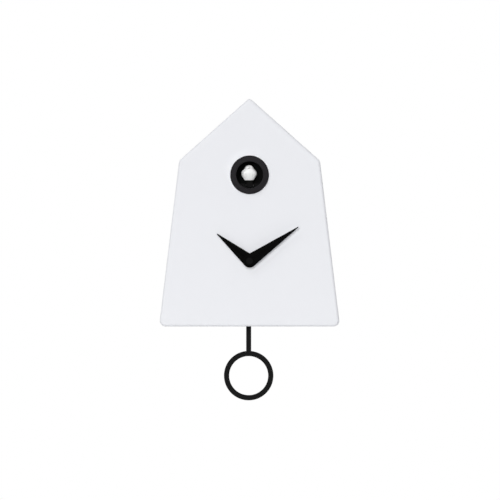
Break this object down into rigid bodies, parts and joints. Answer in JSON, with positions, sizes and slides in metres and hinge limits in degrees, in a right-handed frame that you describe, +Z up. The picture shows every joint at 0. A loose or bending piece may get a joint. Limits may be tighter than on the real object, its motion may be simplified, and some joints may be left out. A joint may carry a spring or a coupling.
{
  "type": "cuckoo clock",
  "caption": "House-shaped battery wall clock with a bird behind a round porthole, tapered hands and a ring pendulum.",
  "frame": {"origin": "centre of the hanging keyhole's round end, on the wall plane", "axes": "+Z up, +Y into the wall, so the dial faces -Y and +X is to the viewer's right"},
  "size_m": [0.2024, 0.0945, 0.3406],
  "materials": {
    "white_plastic": "semi-gloss moulded ABS",
    "bird_plastic": "semi-gloss moulded",
    "flat_black": "flat black moulded, so that it doesn't show",
    "black_plastic": "satin moulded ABS",
    "hand_paint": "flat black paint on aluminium",
    "gear_nylon": "natural acetal",
    "brass": "machined",
    "steel": "zinc plated",
    "magnet": "nickel plated",
    "coil_copper": "enamelled copper winding",
    "circuit_board": "green solder mask",
    "component_black": "moulded epoxy",
    "cell_wrap": "printed sleeve, no lettering",
    "rubber": "matt",
    "cone_paper": "pressed paper",
    "sensor_lens": "clear epoxy over a dark die",
    "wire_insulation": "soft insulation"
  },
  "bodies": {
    "case": {"back_cover": "white_plastic", "battery_cells": "cell_wrap", "battery_leads": "wire_insulation", "battery_plates": "steel", "battery_springs": "steel", "battery_tray": "black_plastic", "bird_axle": "steel", "bird_frame": "flat_black", "bird_frame_screws": "steel", "bird_motor": "steel", "bird_tunnel": "flat_black", "board_screws": "steel", "cover_screws": "steel", "front_case": "white_plastic", "light_sensor": "sensor_lens", "mode_switch_case": "component_black", "motor_leads": "wire_insulation", "motor_screws": "steel", "movement_back": "black_plastic", "movement_board": "circuit_board", "movement_board_parts": "component_black", "movement_coil": "coil_copper", "movement_front": "black_plastic", "movement_nut": "brass", "movement_stator": "steel", "movement_washer": "rubber", "pendulum_coil": "coil_copper", "pendulum_pin": "steel", "porthole_ring": "black_plastic", "sensor_bezel": "black_plastic", "signal_leads": "wire_insulation", "sound_board": "circuit_board", "sound_board_parts": "component_black", "speaker_basket": "steel", "speaker_clamp": "rubber", "speaker_cone": "cone_paper", "speaker_leads": "wire_insulation", "speaker_magnet": "magnet", "test_switch_case": "component_black", "tray_screws": "steel", "volume_pot": "component_black"},
    "minute": {"minute_arbor": "brass", "minute_hand": "hand_paint", "hand_nut": "black_plastic"},
    "hour": {"hour_wheel": "gear_nylon", "hour_hand": "hand_paint"},
    "setting": {"setting_wheel": "gear_nylon", "setting_knob": "black_plastic"},
    "bird": {"bird": "bird_plastic", "bird_carriage": "flat_black", "bird_screw": "steel"},
    "bird_gear": {"bird_gear": "gear_nylon"},
    "motor_pinion": {"motor_pinion": "brass"},
    "pendulum": {"pendulum": "black_plastic", "pendulum_hanger": "black_plastic", "pendulum_magnet": "magnet"},
    "battery_door": {"battery_door": "white_plastic"},
    "mode_switch": {"mode_switch_lever": "black_plastic"},
    "volume_dial": {"volume_dial": "black_plastic"},
    "test_button": {"test_button": "black_plastic"}
  },
  "joints": [
    {"name": "minute_turn", "type": "hinge", "parent": "case", "child": "minute", "pos_m": [0, -0.085, -0.1412], "axis": [0, 1, 0], "continuous": true},
    {"name": "hour_turn", "type": "hinge", "parent": "case", "child": "hour", "pos_m": [0, -0.085, -0.1412], "axis": [0, 1, 0], "continuous": true},
    {"name": "setting_turn", "type": "hinge", "parent": "case", "child": "setting", "pos_m": [-0.0144, -0.035, -0.1412], "axis": [0, 1, 0], "continuous": true},
    {"name": "bird_slide", "type": "slide", "parent": "case", "child": "bird", "axis": [0, -1, 0], "range_m": [0, 0.022]},
    {"name": "bird_gear_turn", "type": "hinge", "parent": "case", "child": "bird_gear", "pos_m": [0, -0.032, -0.0623], "axis": [1, 0, 0], "range_deg": [0, 262.7]},
    {"name": "motor_pinion_turn", "type": "hinge", "parent": "case", "child": "motor_pinion", "pos_m": [0, -0.032, -0.0774], "axis": [1, 0, 0], "range_deg": [-1050.6, 0]},
    {"name": "pendulum_swing", "type": "hinge", "parent": "case", "child": "pendulum", "pos_m": [-0.001, -0.058, -0.1192], "axis": [0, 1, 0], "range_deg": [-7, 7]},
    {"name": "battery_door_hinge", "type": "hinge", "parent": "case", "child": "battery_door", "pos_m": [0, -0.0015, -0.1585], "axis": [1, 0, 0], "range_deg": [0, 100]},
    {"name": "mode_switch_slide", "type": "slide", "parent": "case", "child": "mode_switch", "axis": [1, 0, 0], "range_m": [-0.003, 0.003]},
    {"name": "volume_turn", "type": "hinge", "parent": "case", "child": "volume_dial", "pos_m": [0.057, -0.005, -0.103], "axis": [0, 1, 0], "range_deg": [0, 270]},
    {"name": "test_button_press", "type": "slide", "parent": "case", "child": "test_button", "axis": [0, -1, 0], "range_m": [0, 0.0012], "stiffness_N_per_m": 300}
  ],
  "couplings": [
    {"joint": "hour_turn", "follows": "minute_turn", "ratio": 0.083333},
    {"joint": "setting_turn", "follows": "minute_turn", "ratio": -0.33333},
    {"joint": "bird_gear_turn", "follows": "bird_slide", "rad_per_m": 208.33},
    {"joint": "motor_pinion_turn", "follows": "bird_slide", "rad_per_m": -833.33}
  ]
}
